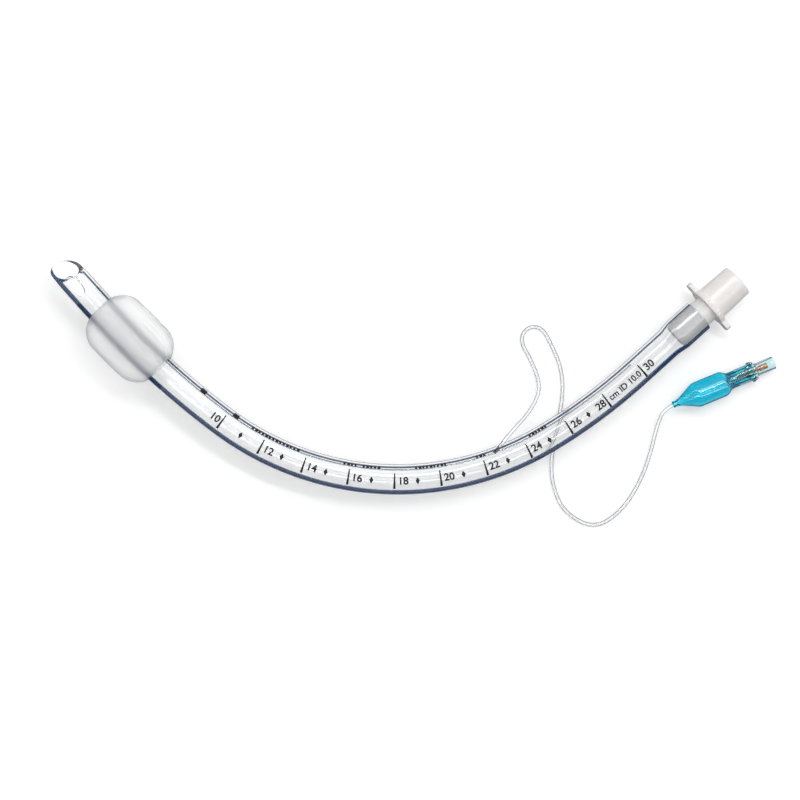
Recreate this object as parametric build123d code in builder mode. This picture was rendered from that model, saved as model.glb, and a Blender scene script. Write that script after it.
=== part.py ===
"""Cuffed endotracheal tube with its inflation line, pilot balloon and spring valve.

Millimetres, +Z up. The tube lies on the floor, z = 0, with its curve spread out flat:
+X runs from the patient end towards the machine end and +Y towards the inside of the curve.
The tube, its cuff and its connector are built flat, on a centreline in the XY plane, and then
laid down on what they rest on. The line, the balloon and the valve are built where they lie.
"""

import os
from math import asin, cos, pi, radians, sin, tan

from build123d import *

os.makedirs("parts", exist_ok=True)

# Tube section
bore_radius = 5.0
tube_wall = 1.65
tube_radius = bore_radius + tube_wall

# Centreline, from the middle of the bevel to the open end of the cone
tip_x = -145.96
tip_y = 46.71
tip_heading = -48.0
tip_run = 26.4
bend_radii = (354.5, 127.5, 247.2)
bend_turns = (11.13, 67.8, 11.34)
tube_run = 36.8

# Tip: taper, bevel and the eye in the wall opposite the bevel
tip_reach = 9.0
tip_end_radius = 5.35
tip_end_bore = 4.5
taper_length = 11.0
taper_fullness = 2 / 3
bevel_angle = 45.0
bevel_roll = 25.0
eye_station = 7.6
eye_length = 11.0
eye_width = 6.4

# Blue X-ray line in the wall, on the outside of the curve
stripe_width = 2.8
stripe_depth = 0.5

# Air channel in the wall, its opening under the cuff and the hole that the line is glued in
channel_radius = 0.35
channel_depth = 0.8
channel_angle = 43.0
cuff_hole_radius = 0.6

# Cuff
cuff_start = 22.1
cuff_length = 37.6
cuff_radius = 14.95
cuff_crown = 0.45
cuff_shoulder = 9.2
crown_share = 0.382
collar_lap = 0.5
rest_margin = 0.21
cuff_film = 0.3
front_collar = 7.2
rear_collar = 5.6
bond_gap = 0.02

# Connector, measured from the open end of the cone
cone_length = 16.0
cone_land = 3.0
cone_end_radius = 7.54
cone_taper = 1 / 40
cone_bore = 6.2
flange_thickness = 2.1
flange_half_span = 13.2
flange_half_height = 8.7
wing_half_height = 3.2
wing_corner = 1.6
hub_radius = 9.4
grip_notches = 5
grip_pitch = 2.2
grip_width = 0.9
grip_depth = 0.7
neck_length = 5.1
barb_radius = 6.0
barb_length = 13.8
barb_lead = 3.0
barb_end_radius = 5.3
barb_bore = 4.7
bore_funnel = 4.0
edge_round = 0.35

# Stretched end of the tube over the barb
flare_length = 7.0
flare_before_barb = 4.6

# Inflation line
line_radius = 0.8
crossing_station = 249.2
line_gap = 0.3
line_seat_gap = 0.02
line_station = 221.7
line_seat_depth = 0.75
line_seat_length = 8.0
line_lead = 4.4
arc_share = 0.45

# Pilot balloon, along its own axis from the end of its neck
balloon_x = 120.1
balloon_y = -11.9
balloon_heading = 22.5
balloon_wall = 0.35
balloon_radius = 5.65
neck_radius = 1.55
neck_run = 2.7
balloon_cone_end = 11.0
balloon_body_end = 26.9
sleeve_length = 3.5
line_insert = 2.3
balloon_round = 3.0
balloon_shoulder = 2.5

# Valve
valve_fit = 0.02
spigot_radius = 3.4
spigot_length = 3.6
valve_radius = 3.8
valve_body_end = 38.3
valve_flange = 1.0
valve_flange_radius = 4.55
chamber_radius = 2.5
chamber_floor = 1.4
air_hole_radius = 0.9
port_radius = 2.9
port_end = 48.6
port_flange = 1.0
port_flange_radius = 4.3
port_plug = 2.0
luer_mouth_radius = 2.15
luer_taper = 0.03
luer_depth = 8.5
seat_hole_radius = 1.3

# Plunger, its seal and its spring
stem_radius = 0.75
stem_end = 45.2
head_radius = 1.2
head_length = 4.0
seal_radius = 1.95
seal_thickness = 1.2
seal_gap = 0.05
collar_radius = 1.5
collar_thickness = 0.6
tail_radius = 0.9
plunger_travel = 1.8
travel_margin = 1.45
spring_radius = 1.55
spring_wire = 0.2
spring_turns = 6


# Centreline and the planes along it
machine_run = tube_run + neck_length + flange_thickness + cone_length
with BuildLine() as centreline:
    front_run = PolarLine((tip_x, tip_y), tip_run, tip_heading)
    bend_1 = JernArc(front_run @ 1, front_run % 1, bend_radii[0], bend_turns[0])
    bend_2 = JernArc(bend_1 @ 1, bend_1 % 1, bend_radii[1], bend_turns[1])
    bend_3 = JernArc(bend_2 @ 1, bend_2 % 1, bend_radii[2], bend_turns[2])
    rear_run = Line(bend_3 @ 1, (bend_3 @ 1) + (bend_3 % 1) * machine_run)
route = centreline.wire()
bends = Wire([bend_1, bend_2, bend_3])
end_station = route.length
bend_end = end_station - machine_run
flange_station = end_station - cone_length - flange_thickness
tube_end = flange_station - neck_length
barb_start = tube_end - barb_length
cuff_end = cuff_start + cuff_length
channel_middle = bore_radius + channel_depth
up = Vector(0, 0, 1)


def axis_point(station):
    """A point of the centreline, at a distance along it from the middle of the bevel."""
    return route.position_at(station, PositionMode.LENGTH)


def axis_direction(station):
    """The centreline's direction there, towards the machine end."""
    return route.tangent_at(station, PositionMode.LENGTH)


def cross_plane(station):
    """The plane across the tube: x towards the inside of the curve, y up."""
    along = axis_direction(station)
    return Plane(axis_point(station), x_dir=up.cross(along), z_dir=along)


def side_plane(station):
    """The plane of the curve: x along the tube, y towards the inside of the curve."""
    return Plane(axis_point(station), x_dir=axis_direction(station), z_dir=up)


def turned_about(plane):
    """The axis that a profile drawn on a side plane is turned about."""
    return Axis(plane.origin, plane.x_dir)


def around(plane, angle, radius):
    """A point of a cross plane, at an angle from the inside of the curve towards the top."""
    return plane.from_local_coords((radius * cos(radians(angle)), radius * sin(radians(angle))))


def centre_stretch(start, end):
    """The centreline between two stations."""
    return route.trim(start / end_station, end / end_station)


def tube_form(tip_radius, radius, flared_radius):
    """A round form along the tube: tapered at the tip, swept through the bends, flared at the end."""
    tip_plane = side_plane(0)
    rear_plane = side_plane(bend_end)
    flare_start = barb_start - flare_before_barb - bend_end
    rear_end = tube_end - bend_end
    with BuildPart() as form:
        with BuildSketch(tip_plane):
            with BuildLine():
                Line((-tip_reach, 0), (-tip_reach, tip_radius))
                middle = tip_radius + taper_fullness * (radius - tip_radius)
                ThreePointArc((-tip_reach, tip_radius), (0, middle), (taper_length, radius))
                Polyline((taper_length, radius), (tip_run, radius), (tip_run, 0), (-tip_reach, 0))
            make_face()
        revolve(axis=turned_about(tip_plane))
        with BuildSketch(cross_plane(tip_run)):
            Circle(radius)
        sweep(path=bends)
        with BuildSketch(rear_plane):
            with BuildLine():
                FilletPolyline(
                    (0, radius),
                    (flare_start, radius),
                    (flare_start + flare_length, flared_radius),
                    (rear_end, flared_radius),
                    radius=flare_length,
                )
                Polyline((rear_end, flared_radius), (rear_end, 0), (0, 0), (0, radius))
            make_face()
        revolve(axis=turned_about(rear_plane))
    return form.part


def tube_outside(inset=0.0):
    """The outside of the tube, or the same form drawn in by an inset."""
    flared_radius = barb_radius + bond_gap + tube_wall * bore_radius / barb_radius
    return tube_form(tip_end_radius - inset, tube_radius - inset, flared_radius - inset)


# How the tube lies: on the cuff, on the line where it crosses under the tube, and on the flange
cuff_middle = cuff_start + cuff_length / 2
crossing_height = tube_radius + 2 * line_radius + line_gap
supports = [
    axis_point(cuff_middle) + up * (cuff_radius + rest_margin),
    axis_point(crossing_station) + up * crossing_height,
    axis_point(flange_station) + up * (flange_half_height + rest_margin),
]
slope_normal = (supports[1] - supports[0]).cross(supports[2] - supports[0])
slope_normal = slope_normal.normalized()
height_at_zero = slope_normal.dot(supports[0]) / slope_normal.Z
level_x = Vector(1, 0, -slope_normal.X / slope_normal.Z)
lie = Plane((0, 0, height_at_zero), x_dir=level_x, z_dir=slope_normal)

# The balloon and its valve rest on the balloon's shoulder and on the valve's flange
balloon_contact = balloon_body_end - balloon_shoulder
dip = asin((balloon_radius - valve_flange_radius) / (valve_body_end - balloon_contact))
turn = radians(balloon_heading)
balloon_axis = Vector(cos(dip) * cos(turn), cos(dip) * sin(turn), -sin(dip))
neck_height = balloon_radius + balloon_contact * sin(dip)
balloon_start = Vector(balloon_x, balloon_y, neck_height)

# Inflation line: out of its seat in the tube's wall, down to the floor, under the tube, round
# and up into the neck of the balloon. The points are chosen by hand along the real one's lie.
line_start = lie.from_local_coords(
    around(cross_plane(line_station), channel_angle, tube_radius - line_seat_depth)
)
line_points = [
    line_start,
    Vector(48.0, -24.2, 12.2),
    Vector(57.2, -15.1, 6.5),
    Vector(62.5, -4.4, 1.8),
    Vector(58.4, 7.3, line_radius),
    Vector(52.8, 16.8, line_radius),
    Vector(56.5, 22.9, line_radius),
    Vector(63.2, 22.3, line_radius),
    Vector(67.7, 13.2, line_radius),
    Vector(71.1, 5.5, line_radius),
    Vector(72.4, -5.7, line_radius),
    Vector(69.9, -20.6, line_radius),
    Vector(67.0, -35.1, line_radius),
    Vector(67.2, -46.8, line_radius),
    Vector(72.2, -59.4, line_radius),
    Vector(85.7, -67.1, line_radius),
    Vector(97.5, -59.9, line_radius),
    Vector(106.0, -47.2, line_radius),
    Vector(111.0, -33.7, 1.0),
    Vector(113.5, -21.5, 2.6),
    balloon_start - balloon_axis * line_lead,
    balloon_start + balloon_axis * line_insert,
]
runs = [after - before for before, after in zip(line_points, line_points[1:])]
line_bends = [
    arc_share * min(before.length, after.length) / tan(radians(before.get_angle(after)) / 2)
    for before, after in zip(runs, runs[1:])
]
print("line bend radii:", [round(bend, 1) for bend in line_bends])
line_turns = [round(before.get_angle(after)) for before, after in zip(runs, runs[1:])]
print("line turns:", line_turns)

with BuildLine() as line_route:
    FilletPolyline(*line_points, radius=line_bends)
with BuildPart() as inflation_line:
    with BuildSketch(Plane(line_points[0], z_dir=runs[0])):
        Circle(line_radius)
    sweep(path=line_route.wire())
line_length = line_route.wire().length
print("line length:", round(line_length, 1), "section x length:",
      round(pi * line_radius**2 * line_length, 1), "volume:", round(inflation_line.part.volume, 1))
print("line starts:", line_points[0], "ends:", line_points[-1], "lead:", line_points[-2])

# The cut across the tip: it faces up, rolled a little towards the inside of the curve
facing = cos(radians(bevel_roll)) * up + sin(radians(bevel_roll)) * cross_plane(0).x_dir
bevel_normal = cos(radians(bevel_angle)) * facing - sin(radians(bevel_angle)) * axis_direction(0)
bevel_plane = Plane(axis_point(0), z_dir=bevel_normal)

# Blue X-ray line: a strip let into the wall, flush with it, on the outside of the curve
with BuildPart() as both_sides:
    add(tube_outside())
    add(tube_outside(stripe_depth), mode=Mode.SUBTRACT)
    split(bisect_by=bevel_plane, keep=Keep.BOTTOM)
    Box(2 * end_station, 2 * end_station, stripe_width, mode=Mode.INTERSECT)
with BuildPart() as radiopaque_line:
    add(both_sides.part.solids().sort_by(Axis.Y)[0])

# Tube: one moulding with its bore, tapered tip, eye, flared end, wall channel and line seat
with BuildPart() as tube_shaft:
    add(tube_outside())
    add(tube_form(tip_end_bore, bore_radius, barb_radius + bond_gap), mode=Mode.SUBTRACT)
    split(bisect_by=bevel_plane, keep=Keep.BOTTOM)
    with BuildSketch(Plane(axis_point(eye_station), x_dir=axis_direction(0), z_dir=-facing)):
        Ellipse(eye_length / 2, eye_width / 2)
    extrude(amount=2 * tube_radius, mode=Mode.SUBTRACT)
    channel_plane = cross_plane(tip_run)
    channel_at = around(channel_plane, channel_angle, channel_middle)
    with BuildSketch(Plane(channel_at, x_dir=channel_plane.x_dir, z_dir=channel_plane.z_dir)):
        Circle(channel_radius)
    sweep(path=bends, mode=Mode.SUBTRACT)
    seat_start = lie.to_local_coords(line_points[0])
    seat_direction = lie.to_local_coords(line_points[1]) - seat_start
    with BuildSketch(Plane(seat_start, z_dir=seat_direction)):
        Circle(line_radius + line_seat_gap)
    extrude(amount=line_seat_length, mode=Mode.SUBTRACT)
    hole_plane = cross_plane(cuff_middle)
    hole_start = around(hole_plane, channel_angle, channel_middle)
    with BuildSketch(Plane(hole_start, z_dir=hole_start - hole_plane.origin)):
        Circle(cuff_hole_radius)
    extrude(amount=tube_wall, mode=Mode.SUBTRACT)
    add(radiopaque_line.part, mode=Mode.SUBTRACT)


def barrel(radius, half_length, shoulder, crown):
    """A round barrel about the cuff's chord, with wide shoulders and a slight crown."""
    chord_start = axis_point(cuff_start)
    chord = axis_point(cuff_start + cuff_length) - chord_start
    chord_plane = Plane(chord_start + chord / 2, x_dir=chord, z_dir=up)
    foot = radius - crown - shoulder - bond_gap
    crown_radius = crown_share * half_length**2 / crown
    with BuildPart() as form:
        with BuildSketch(chord_plane):
            with BuildLine():
                FilletPolyline(
                    (-half_length, foot),
                    (-half_length, radius - crown),
                    (0, radius),
                    (half_length, radius - crown),
                    (half_length, foot),
                    radius=(shoulder, crown_radius, shoulder),
                )
                Polyline((half_length, foot), (half_length, 0), (-half_length, 0), (-half_length, foot))
            make_face()
        revolve(axis=turned_about(chord_plane))
    return form.part


with BuildPart() as cuff:
    add(barrel(cuff_radius, cuff_length / 2, cuff_shoulder, cuff_crown))
    inner_radius = cuff_radius - cuff_film
    inner_half = cuff_length / 2 - cuff_film
    add(barrel(inner_radius, inner_half, cuff_shoulder - cuff_film, cuff_crown), mode=Mode.SUBTRACT)
    front_start = cuff_start - front_collar
    with BuildSketch(cross_plane(front_start)):
        Circle(tube_radius + bond_gap + cuff_film)
        Circle(tube_radius + bond_gap, mode=Mode.SUBTRACT)
    sweep(path=centre_stretch(front_start, cuff_start + collar_lap))
    with BuildSketch(cross_plane(cuff_start + cuff_length - collar_lap)):
        Circle(tube_radius + bond_gap + cuff_film)
        Circle(tube_radius + bond_gap, mode=Mode.SUBTRACT)
    sweep(path=centre_stretch(cuff_start + cuff_length - collar_lap, cuff_end + rear_collar))
    with BuildSketch(cross_plane(front_start)):
        Circle(tube_radius + bond_gap)
    sweep(path=centre_stretch(front_start, cuff_end + rear_collar), mode=Mode.SUBTRACT)

# Connector: barb, neck, winged flange and the 15 mm cone, moulded in one piece
connector_plane = side_plane(barb_start)
neck_at = flange_station - barb_start
cone_at = neck_at + flange_thickness
land_at = cone_at + cone_length - cone_land
open_at = cone_at + cone_length
cone_root_radius = cone_end_radius + cone_taper * (cone_length - cone_land)
with BuildPart() as connector:
    with BuildSketch(connector_plane):
        with BuildLine():
            Polyline(
                (0, barb_bore),
                (0, barb_end_radius),
                (barb_lead, barb_radius),
                (neck_at, barb_radius),
                (cone_at, barb_radius),
                (cone_at, cone_root_radius),
                (land_at, cone_end_radius),
                (open_at - edge_round, cone_end_radius),
                (open_at, cone_end_radius - edge_round),
                (open_at, cone_bore + edge_round),
                (open_at - edge_round, cone_bore),
                (cone_at + bore_funnel, cone_bore),
                (cone_at, barb_bore),
                (0, barb_bore),
            )
        make_face()
    revolve(axis=turned_about(connector_plane))
    with BuildSketch(cross_plane(flange_station)):
        Circle(hub_radius)
        Rectangle(2 * flange_half_span, 2 * flange_half_height, mode=Mode.INTERSECT)
        RectangleRounded(2 * flange_half_span, 2 * wing_half_height, wing_corner)
        with Locations((0, flange_half_height), (0, -flange_half_height)):
            with GridLocations(grip_pitch, 1, grip_notches, 1):
                Rectangle(grip_width, 2 * grip_depth, mode=Mode.SUBTRACT)
        Circle(barb_bore, mode=Mode.SUBTRACT)
    extrude(amount=flange_thickness)

# Pilot balloon: a thin bag blown with its neck and its sleeve
balloon_plane = Plane(balloon_start, x_dir=balloon_axis, z_dir=up - balloon_axis * up.dot(balloon_axis))
sleeve_radius = spigot_radius + valve_fit + balloon_wall
sleeve_end = balloon_body_end + sleeve_length
with BuildPart() as pilot_balloon:
    with BuildSketch(balloon_plane):
        with BuildLine():
            FilletPolyline(
                (neck_run, neck_radius),
                (balloon_cone_end, balloon_radius),
                (balloon_body_end - balloon_shoulder, balloon_radius),
                (balloon_body_end, sleeve_radius),
                (sleeve_end, sleeve_radius),
                radius=balloon_round,
            )
            Polyline(
                (sleeve_end, sleeve_radius),
                (sleeve_end, 0),
                (0, 0),
                (0, neck_radius),
                (neck_run, neck_radius),
            )
        make_face()
    revolve(axis=turned_about(balloon_plane))
    with BuildSketch(balloon_plane):
        with BuildLine():
            FilletPolyline(
                (neck_run + balloon_wall, line_radius + line_seat_gap),
                (balloon_cone_end, balloon_radius - balloon_wall),
                (balloon_body_end - balloon_shoulder, balloon_radius - balloon_wall),
                (balloon_body_end, sleeve_radius - balloon_wall),
                (sleeve_end, sleeve_radius - balloon_wall),
                radius=balloon_round - balloon_wall,
            )
            Polyline(
                (sleeve_end, sleeve_radius - balloon_wall),
                (sleeve_end, 0),
                (0, 0),
                (0, line_radius + line_seat_gap),
                (neck_run + balloon_wall, line_radius + line_seat_gap),
            )
        make_face()
    revolve(axis=turned_about(balloon_plane), mode=Mode.SUBTRACT)

# Valve body: a spigot in the balloon's sleeve, a chamber for the spring, a flange at the open end
spigot_start = sleeve_end - spigot_length
chamber_start = spigot_start + chamber_floor
plug_start = valve_body_end - port_plug
with BuildPart() as valve_body:
    with BuildSketch(balloon_plane):
        Polygon(
            (spigot_start, air_hole_radius),
            (spigot_start, spigot_radius),
            (sleeve_end, spigot_radius),
            (sleeve_end, valve_radius),
            (valve_body_end - valve_flange, valve_radius),
            (valve_body_end - valve_flange, valve_flange_radius),
            (valve_body_end, valve_flange_radius),
            (valve_body_end, port_radius + valve_fit),
            (plug_start, port_radius + valve_fit),
            (plug_start, chamber_radius),
            (chamber_start, chamber_radius),
            (chamber_start, air_hole_radius),
            align=None,
        )
    revolve(axis=turned_about(balloon_plane))

# Valve port: a clear socket with the 6 % luer taper, and the seat that the seal closes against
luer_floor = port_end - luer_depth
luer_floor_radius = luer_mouth_radius - luer_taper * luer_depth
with BuildPart() as valve_port:
    with BuildSketch(balloon_plane):
        Polygon(
            (plug_start, seat_hole_radius),
            (plug_start, port_radius),
            (valve_body_end, port_radius),
            (valve_body_end, port_flange_radius),
            (valve_body_end + port_flange, port_flange_radius),
            (valve_body_end + port_flange, port_radius),
            (port_end, port_radius),
            (port_end, luer_mouth_radius),
            (luer_floor, luer_floor_radius),
            (luer_floor, seat_hole_radius),
            align=None,
        )
    revolve(axis=turned_about(balloon_plane))

# Plunger: a stem that the syringe's tip pushes, a head, and a collar that carries the seal
seal_front = plug_start - seal_gap
seal_back = seal_front - seal_thickness
collar_back = seal_back - collar_thickness
tail_end = chamber_start + plunger_travel + travel_margin
with BuildPart() as valve_plunger:
    with BuildSketch(balloon_plane):
        Polygon(
            (tail_end, 0),
            (tail_end, tail_radius),
            (collar_back, tail_radius),
            (collar_back, collar_radius),
            (seal_back, collar_radius),
            (seal_back, stem_radius),
            (stem_end - head_length, stem_radius),
            (stem_end - head_length, head_radius),
            (stem_end, head_radius),
            (stem_end, 0),
            align=None,
        )
    revolve(axis=turned_about(balloon_plane))

with BuildPart() as valve_seal:
    with BuildSketch(balloon_plane):
        Polygon(
            (seal_back, stem_radius + valve_fit),
            (seal_back, seal_radius),
            (seal_front, seal_radius),
            (seal_front, stem_radius + valve_fit),
            align=None,
        )
    revolve(axis=turned_about(balloon_plane))

# Spring: between the chamber's floor and the plunger's collar
spring_start = chamber_start + spring_wire + seal_gap
spring_height = collar_back - seal_gap - spring_wire - spring_start
with BuildPart() as valve_spring:
    with BuildLine() as coil:
        Helix(
            pitch=spring_height / spring_turns,
            height=spring_height,
            radius=spring_radius,
            center=balloon_plane.from_local_coords((spring_start, 0)),
            direction=balloon_axis,
        )
    with BuildSketch(Plane(coil.wire() @ 0, z_dir=coil.wire() % 0)):
        Circle(spring_wire)
    sweep(path=coil.wire(), is_frenet=True)

# The tube and what is fixed to it are laid down; the rest was made where it lies
for built_flat in (tube_shaft, radiopaque_line, cuff, connector):
    built_flat.part.location = lie.location * built_flat.part.location

tube_shaft.part.label = "tube_shaft"
export_step(tube_shaft.part, "parts/tube_shaft.step")
radiopaque_line.part.label = "radiopaque_line"
export_step(radiopaque_line.part, "parts/radiopaque_line.step")
cuff.part.label = "cuff"
export_step(cuff.part, "parts/cuff.step")
connector.part.label = "connector_15mm"
export_step(connector.part, "parts/connector_15mm.step")
inflation_line.part.label = "inflation_line"
export_step(inflation_line.part, "parts/inflation_line.step")
pilot_balloon.part.label = "pilot_balloon"
export_step(pilot_balloon.part, "parts/pilot_balloon.step")
valve_body.part.label = "valve_body"
export_step(valve_body.part, "parts/valve_body.step")
valve_port.part.label = "valve_port"
export_step(valve_port.part, "parts/valve_port.step")
valve_plunger.part.label = "valve_plunger"
export_step(valve_plunger.part, "parts/valve_plunger.step")
valve_seal.part.label = "valve_seal"
export_step(valve_seal.part, "parts/valve_seal.step")
valve_spring.part.label = "valve_spring"
export_step(valve_spring.part, "parts/valve_spring.step")
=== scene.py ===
"""Cuffed tube with its pilot balloon and valve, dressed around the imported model.

The script works in metres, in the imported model's own frame: +Z up, the floor at z = 0, +X towards
the machine end and +Y towards the inside of the curve. Sizes below are in millimetres, as on the
real product, and are turned into metres when a mesh is made. A station is a distance along the
tube's centreline from the middle of its bevel. An angle about the tube is counted from the inside
of the curve towards the top.
"""

from contextlib import contextmanager
from math import cos, pi, radians, sin, tan

import bmesh
import bpy
import numpy as np
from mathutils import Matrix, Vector


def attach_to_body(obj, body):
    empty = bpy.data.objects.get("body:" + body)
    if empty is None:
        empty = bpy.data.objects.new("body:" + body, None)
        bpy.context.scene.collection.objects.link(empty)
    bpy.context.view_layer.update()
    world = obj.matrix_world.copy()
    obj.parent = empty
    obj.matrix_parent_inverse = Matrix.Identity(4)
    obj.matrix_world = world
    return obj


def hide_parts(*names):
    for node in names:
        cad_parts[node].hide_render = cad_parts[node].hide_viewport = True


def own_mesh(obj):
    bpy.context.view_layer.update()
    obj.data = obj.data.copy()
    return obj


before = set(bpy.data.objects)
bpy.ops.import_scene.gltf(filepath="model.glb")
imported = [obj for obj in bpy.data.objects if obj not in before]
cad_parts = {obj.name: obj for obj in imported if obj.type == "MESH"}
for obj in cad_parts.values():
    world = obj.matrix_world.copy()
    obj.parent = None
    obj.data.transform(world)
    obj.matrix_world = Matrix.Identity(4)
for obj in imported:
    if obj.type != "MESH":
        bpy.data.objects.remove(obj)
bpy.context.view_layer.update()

MM = 0.001

# The tube's centreline and section
TIP = (-145.96, 46.71)
TIP_HEADING = -48.0
TIP_RUN = 26.4
BENDS = ((354.5, 11.13), (127.5, 67.8), (247.2, 11.34))
MACHINE_RUN = 60.0
TUBE_RADIUS = 6.65
BORE_RADIUS = 5.0
TIP_RADIUS = 5.35
TIP_BORE = 4.5
TAPER_END = 11.0
TAPER_LENGTH = 20.0
BEVEL_ANGLE = 45.0
BEVEL_ROLL = 25.0
RIM_ROUND = 0.5

# The tube's supports, from which its lie on the floor follows
CUFF_START = 22.1
CUFF_LENGTH = 37.6
CUFF_RADIUS = 14.95
REST_MARGIN = 0.21
CROSSING_STATION = 249.2
LINE_RADIUS = 0.8
LINE_GAP = 0.3
FLANGE_HALF_HEIGHT = 8.7

# The stretched end over the connector's barb
CONE_AND_FLANGE = 18.1
NECK_LENGTH = 5.1
BARB_LENGTH = 13.8
FLARE_BEFORE_BARB = 4.6
FLARE_LENGTH = 7.0
BARB_SEAT_RADIUS = 6.02

# Openings in the tube's wall
EYE_STATION = 7.6
EYE_LENGTH = 11.0
EYE_WIDTH = 6.4
EYE_CUT_DEPTH = 12.0
CHANNEL_RADIUS = 0.35
CHANNEL_DEPTH = 0.8
CHANNEL_ANGLE = 43.0
LINE_STATION = 221.7
LINE_SEAT_RADIUS = 0.82
LINE_SEAT_DEPTH = 0.75
LINE_SEAT_LENGTH = 8.0

# The blue line in the wall
STRIPE_WIDTH = 2.6
STRIPE_DEPTH = 0.6
STRIPE_COVER = 0.05

# Cuff: its barrel and film, its collars, and the folds, creases and waves of its film
CUFF_CROWN = 0.75
CUFF_SHOULDER = 10.2
CUFF_FILM = 0.12
CUFF_SLACK = 0.3
FILM_GAP = 0.04
FRONT_COLLAR = 7.2
REAR_COLLAR = 5.6
FOLD_DEPTH = 0.12
CREASE_ANGLE = 0.9
CREASE_REACH = 0.30
CREASE_DEPTH = 2.6
WAVE_DEPTH = 0.05
WAVE_STRETCH = 4.6
FROST_RISE = 0.12

# Balloon and valve, along their own axis from the end of the balloon's neck
BALLOON_PLACE = (120.1, -11.9)
BALLOON_HEADING = 22.5
BALLOON_RADIUS = 5.65
BALLOON_WALL = 0.35
NECK_RUN = 2.7
NECK_RADIUS = 1.55
CONE_END = 11.0
BODY_END = 26.9
BALLOON_SHOULDER = 2.5
BALLOON_PATCH = 1.5
CORNER_REACH = 1.3
PLEAT_DEPTH = 0.10
OVAL_DEPTH = 0.07
SLEEVE_RADIUS = 3.77
SLEEVE_LENGTH = 3.5
VALVE_END = 38.3
VALVE_FLANGE_RADIUS = 4.55
CHAMBER_FLOOR = 28.2
COLLAR_BACK = 34.45
SPRING_RADIUS = 1.55
SPRING_WIRE = 0.2
SPRING_TURNS = 6

# Printed scale: its marks, numerals and ink, in millimetres and degrees
SCALE_START = 94.8
SCALE_PITCH = 20.2
SCALE_FIRST = 10
SCALE_MARKS = 11
SCALE_ANGLE = 91.0
SCALE_DRIFT = 0.03
SCALE_DRIFT_START = 140.0
SCALE_HALF_ANGLE = 31.0
TICK_WIDTHS = (1.04, 0.56)
DIAMOND_HALF_SIZE = (0.95, 1.6)
NUMERAL_SIZE = 4.6
LETTER_SIZE = 3.9
NUMERAL_GAP = 1.5
NUMERAL_GAP_BEFORE = 1.0
NUMERALS_BEFORE_TICK = (10, 28)
STROKE_WEIGHT = 0.03
INK_LIFT = 0.02
INK_THICKNESS = 0.03

# Guide marks along the inside of the curve: two squares, then bars from one station to another
SQUARE_STATIONS = (80.5, 98.6)
SQUARE_ANGLE = 33.0
SQUARE_SIZE = 3.0
BAR_RUNS = (
    (107.4, 131.9), (152.2, 159.0), (161.0, 169.5), (184.9, 199.9), (213.2, 218.1), (239.2, 248.9))
BAR_ANGLE = 39.0
BAR_HEIGHT = 1.7
BAR_PITCH = 1.7
BAR_SHARES = (0.6, 0.8, 0.6)

# The floor's colour, its glow where it is seen, and its glow where clear pieces are before it.
# Light that has turned back inside a clear wall finds the floor dark, and so does a gloss that
# looks down at it steeply. Both fade with 1 less the cosine of the angle from straight down.
FLOOR_HALF_WIDTH = 3000.0
FLOOR_COLOUR = (0.80, 0.80, 0.80)
FLOOR_DARK_COLOUR = (0.02, 0.05, 0.10)
FLOOR_GLOW = 0.34
FLOOR_GLOW_BEHIND = 0.50
FLOOR_DARK_BEHIND_WALL = (0.06, 0.17)
FLOOR_DARK_IN_GLOSS = 0.75
FLOOR_DARK_IN_GLOSS_FADE = (0.35, 0.75)

# The world's light, lowest and highest, the direction that it is highest from, and the cosines
# of the angles from there at which it is lowest and highest
WORLD_LOW = 0.36
WORLD_HIGH = 1.1
KEY_DIRECTION = (0.18, 0.42, 0.89)
KEY_SPREAD = (0.45, 0.95)

# Two long bands of the sky that only a gloss sees, each as the tangent of its tilt towards the
# inside of the curve and half its width, which draw the white streaks along the pieces
GLOSS_BANDS = ((0.66, 0.15), (-0.36, 0.10))
GLOSS_GLOW = 6.0

# The camera hangs straight above: its place, and its focal length and half view in pixels
CAMERA_PLACE = (-0.24, -9.85, 800.0)
PIXEL_FOCUS = 1799.4
HALF_FRAME = 400.0


# Centreline, its lie on the floor and the surfaces about it


def flat_route(station):
    """Points and headings of the flat centreline.

    The path is a run, three arcs that turn left and a run. Each stretch adds its own chord: along
    the heading h for a run, and (sin(h + kt) - sin h, cos h - cos(h + kt)) / k for an arc of
    curvature k, where t is the part of the station that falls in the stretch.
    """
    station = np.asarray(station, float)
    stretches = [(TIP_RUN, 0.0)]
    stretches += [(radius * radians(turn), 1 / radius) for radius, turn in BENDS]
    stretches += [(MACHINE_RUN, 0.0)]
    point = np.zeros(station.shape + (2,)) + TIP
    heading = np.full(station.shape, radians(TIP_HEADING))
    start = 0.0
    start_heading = radians(TIP_HEADING)
    for number, (length, curvature) in enumerate(stretches):
        lowest = -np.inf if number == 0 else 0.0
        highest = np.inf if number == len(stretches) - 1 else length
        travel = np.clip(station - start, lowest, highest)
        if curvature:
            end = start_heading + curvature * travel
            forward = np.sin(end) - sin(start_heading)
            leftward = cos(start_heading) - np.cos(end)
            point += np.stack([forward, leftward], -1) / curvature
        else:
            point += travel[..., None] * np.array([cos(start_heading), sin(start_heading)])
        heading = heading + curvature * travel
        start += length
        start_heading += curvature * length
    return point, heading


ROUTE_LENGTH = TIP_RUN + sum(radius * radians(turn) for radius, turn in BENDS) + MACHINE_RUN
FLANGE_STATION = ROUTE_LENGTH - CONE_AND_FLANGE
TUBE_END = FLANGE_STATION - NECK_LENGTH
BARB_START = TUBE_END - BARB_LENGTH
FLARE_START = BARB_START - FLARE_BEFORE_BARB
BEND_END = ROUTE_LENGTH - MACHINE_RUN


def unit(vector):
    """The vector at length one."""
    return vector / np.linalg.norm(vector, axis=-1, keepdims=True)


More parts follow.
